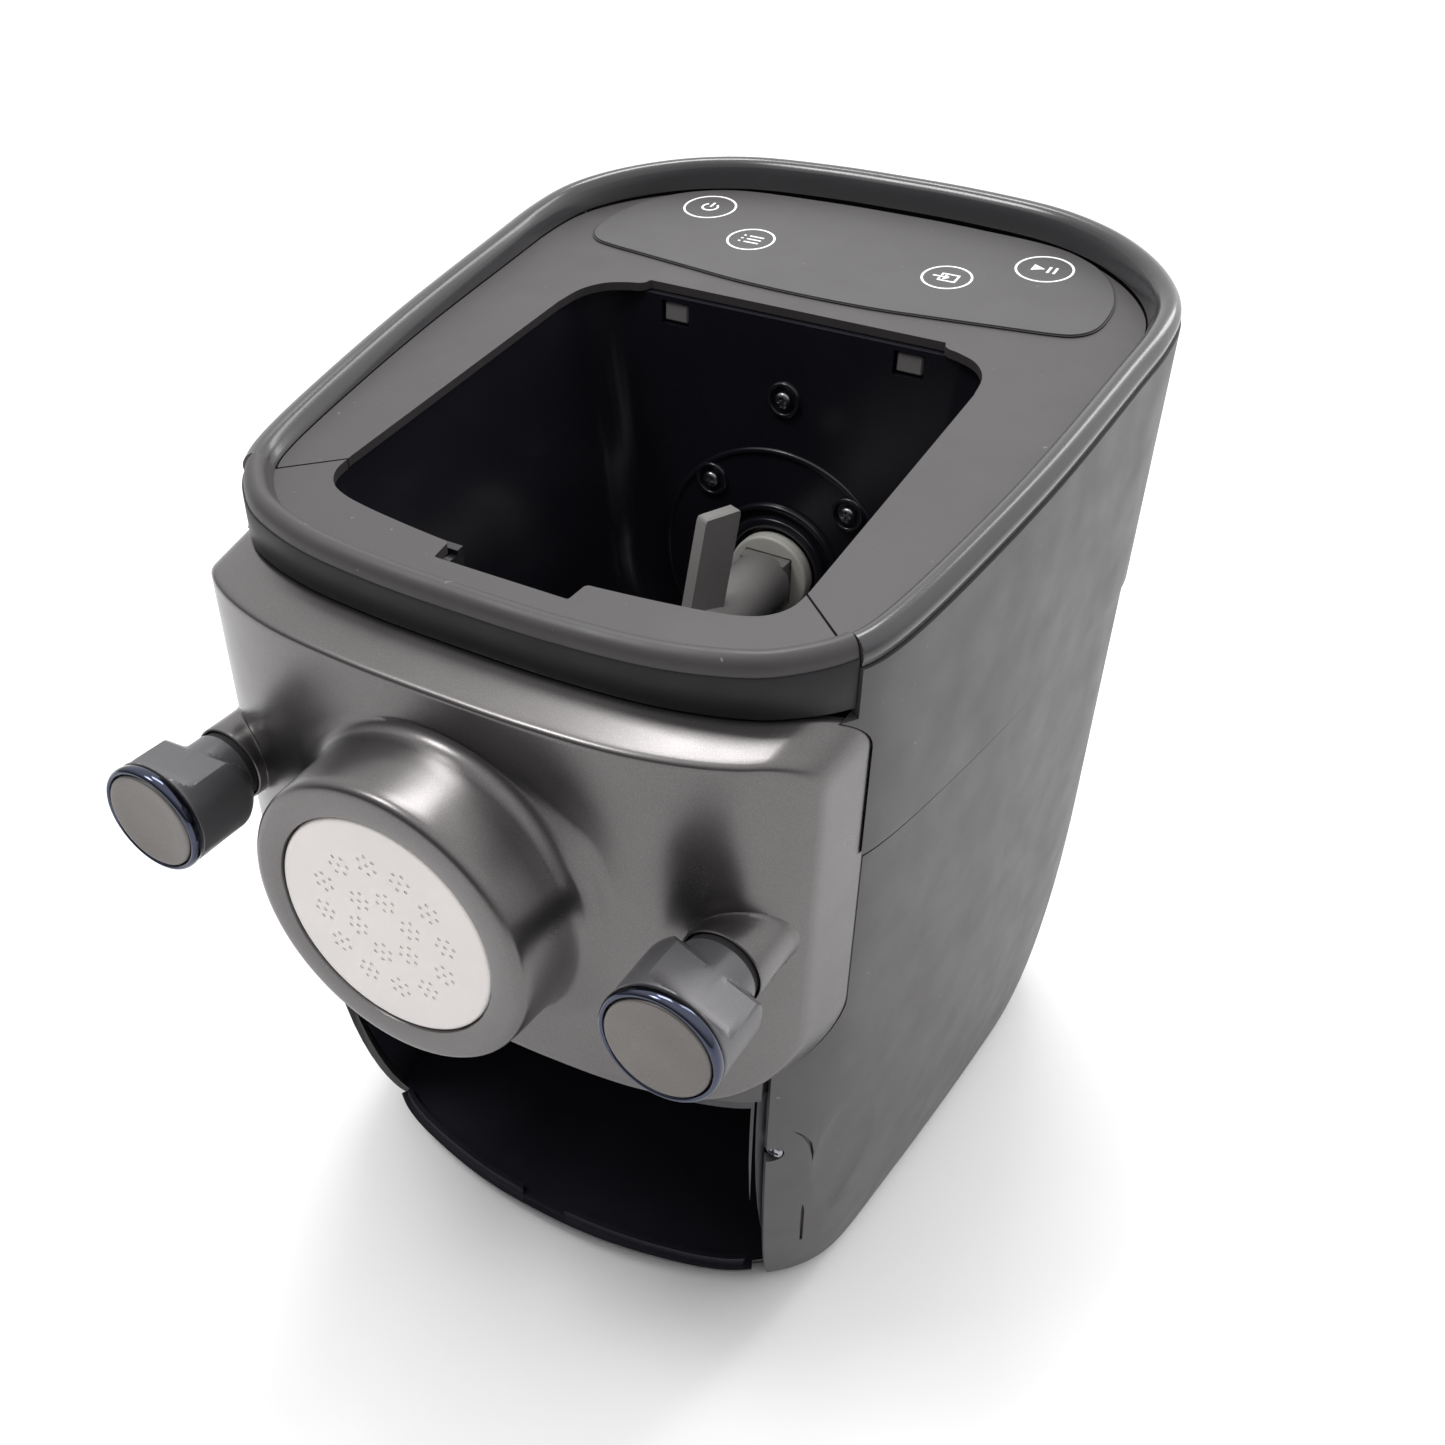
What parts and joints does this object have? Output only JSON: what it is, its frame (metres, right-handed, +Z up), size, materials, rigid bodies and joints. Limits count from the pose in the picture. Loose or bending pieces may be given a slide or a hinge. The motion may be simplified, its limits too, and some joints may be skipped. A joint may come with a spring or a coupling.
{
  "type": "automatic pasta maker",
  "caption": "Countertop dough mixing and extruding machine with open top chamber, round front die, clamp knobs and front drawer bay.",
  "frame": {"origin": "centre of the bounding box at the table, under the feet", "axes": "front faces -Y, +X to the viewer's right when facing the front, +Z up; the drive shaft lies along Y"},
  "size_m": [0.2386, 0.32, 0.3142],
  "materials": {
    "shell_grey": "fine satin",
    "rim_gloss": "gloss",
    "chamber_black": "gloss",
    "panel_metal": "fine metallic satin",
    "knob_grey": "satin",
    "dark_chrome": "polished",
    "cap_metal": "satin",
    "die_white": "satin",
    "drive_light": "satin",
    "paddle_grey": "satin",
    "rubber_black": "matt",
    "screw_steel": "bright",
    "insert_brass": "machined",
    "motor_steel": "zinc plated",
    "board_green": "lacquered",
    "inner_black": "moulded",
    "film_grey": "smooth satin film",
    "gear_white": "moulded"
  },
  "bodies": {
    "chassis": {"side_shell_left": "shell_grey", "side_shell_right": "shell_grey", "rear_cover": "shell_grey", "front_cap": "shell_grey", "top_cover": "shell_grey", "bay_lintel": "shell_grey", "rim_trim": "rim_gloss", "control_film": "film_grey", "mixing_chamber": "chamber_black", "chamber_hub_ring": "chamber_black", "die_disc": "die_white", "foot_front_left": "rubber_black", "foot_front_right": "rubber_black", "foot_rear_left": "rubber_black", "foot_rear_right": "rubber_black", "shaft_seal": "rubber_black", "die_seal_ring": "rubber_black", "chamber_screw_upper": "screw_steel", "chamber_screw_left": "screw_steel", "chamber_screw_right": "screw_steel", "column_screw_left": "screw_steel", "column_screw_right": "screw_steel", "output_bearing": "screw_steel", "thread_insert_left": "insert_brass", "thread_insert_right": "insert_brass", "motor_can": "motor_steel", "main_board": "board_green", "display_board": "board_green", "base_plate": "inner_black", "drawer_bay": "inner_black", "panel_support": "inner_black", "extruding_tube": "inner_black", "gearbox_housing": "inner_black", "power_inlet": "inner_black", "switch_guide_left": "inner_black", "switch_guide_right": "inner_black"},
    "drive_train": {"drive_coupling": "drive_light", "mixing_paddle": "paddle_grey", "auger_screw": "paddle_grey", "output_gear": "gear_white"},
    "motor_spindle": {"motor_rotor": "motor_steel", "motor_pinion": "gear_white", "cooling_fan": "inner_black"},
    "front_cover": {"front_panel": "panel_metal"},
    "knob_left_carrier": {"captive_washer_left": "screw_steel"},
    "knob_left_body": {"knob_left": "knob_grey", "knob_ring_left": "dark_chrome", "knob_cap_left": "cap_metal"},
    "knob_right_carrier": {"captive_washer_right": "screw_steel"},
    "knob_right_body": {"knob_right": "knob_grey", "knob_ring_right": "dark_chrome", "knob_cap_right": "cap_metal"},
    "lid_switch_left": {"lid_switch_left": "drive_light"},
    "lid_switch_right": {"lid_switch_right": "drive_light"}
  },
  "joints": [
    {"name": "drive_turn", "type": "hinge", "parent": "chassis", "child": "drive_train", "pos_m": [0, 0, 0.196], "axis": [0, 1, 0], "continuous": true},
    {"name": "motor_turn", "type": "hinge", "parent": "chassis", "child": "motor_spindle", "pos_m": [0, 0, 0.139], "axis": [0, 1, 0], "continuous": true},
    {"name": "panel_pull", "type": "slide", "parent": "chassis", "child": "front_cover", "axis": [0, -1, 0], "range_m": [0, 0.12]},
    {"name": "knob_left_advance", "type": "slide", "parent": "front_cover", "child": "knob_left_carrier", "axis": [0, -1, 0], "range_m": [0, 0.008]},
    {"name": "knob_left_turn", "type": "hinge", "parent": "knob_left_carrier", "child": "knob_left_body", "pos_m": [-0.0836, -0.16, 0.1975], "axis": [0, -1, 0], "range_deg": [0, 1441]},
    {"name": "knob_right_advance", "type": "slide", "parent": "front_cover", "child": "knob_right_carrier", "axis": [0, -1, 0], "range_m": [0, 0.008]},
    {"name": "knob_right_turn", "type": "hinge", "parent": "knob_right_carrier", "child": "knob_right_body", "pos_m": [0.0836, -0.16, 0.1975], "axis": [0, -1, 0], "range_deg": [0, 1441]},
    {"name": "lid_switch_left_press", "type": "slide", "parent": "chassis", "child": "lid_switch_left", "axis": [0, 1, 0], "range_m": [0, 0.003], "stiffness_N_per_m": 300, "springref_m": -0.001},
    {"name": "lid_switch_right_press", "type": "slide", "parent": "chassis", "child": "lid_switch_right", "axis": [0, 1, 0], "range_m": [0, 0.003], "stiffness_N_per_m": 300, "springref_m": -0.001}
  ],
  "couplings": [
    {"joint": "motor_turn", "follows": "drive_turn", "ratio": -4},
    {"joint": "knob_left_turn", "follows": "knob_left_advance", "rad_per_m": 3141.6},
    {"joint": "knob_right_turn", "follows": "knob_right_advance", "rad_per_m": 3141.6}
  ]
}
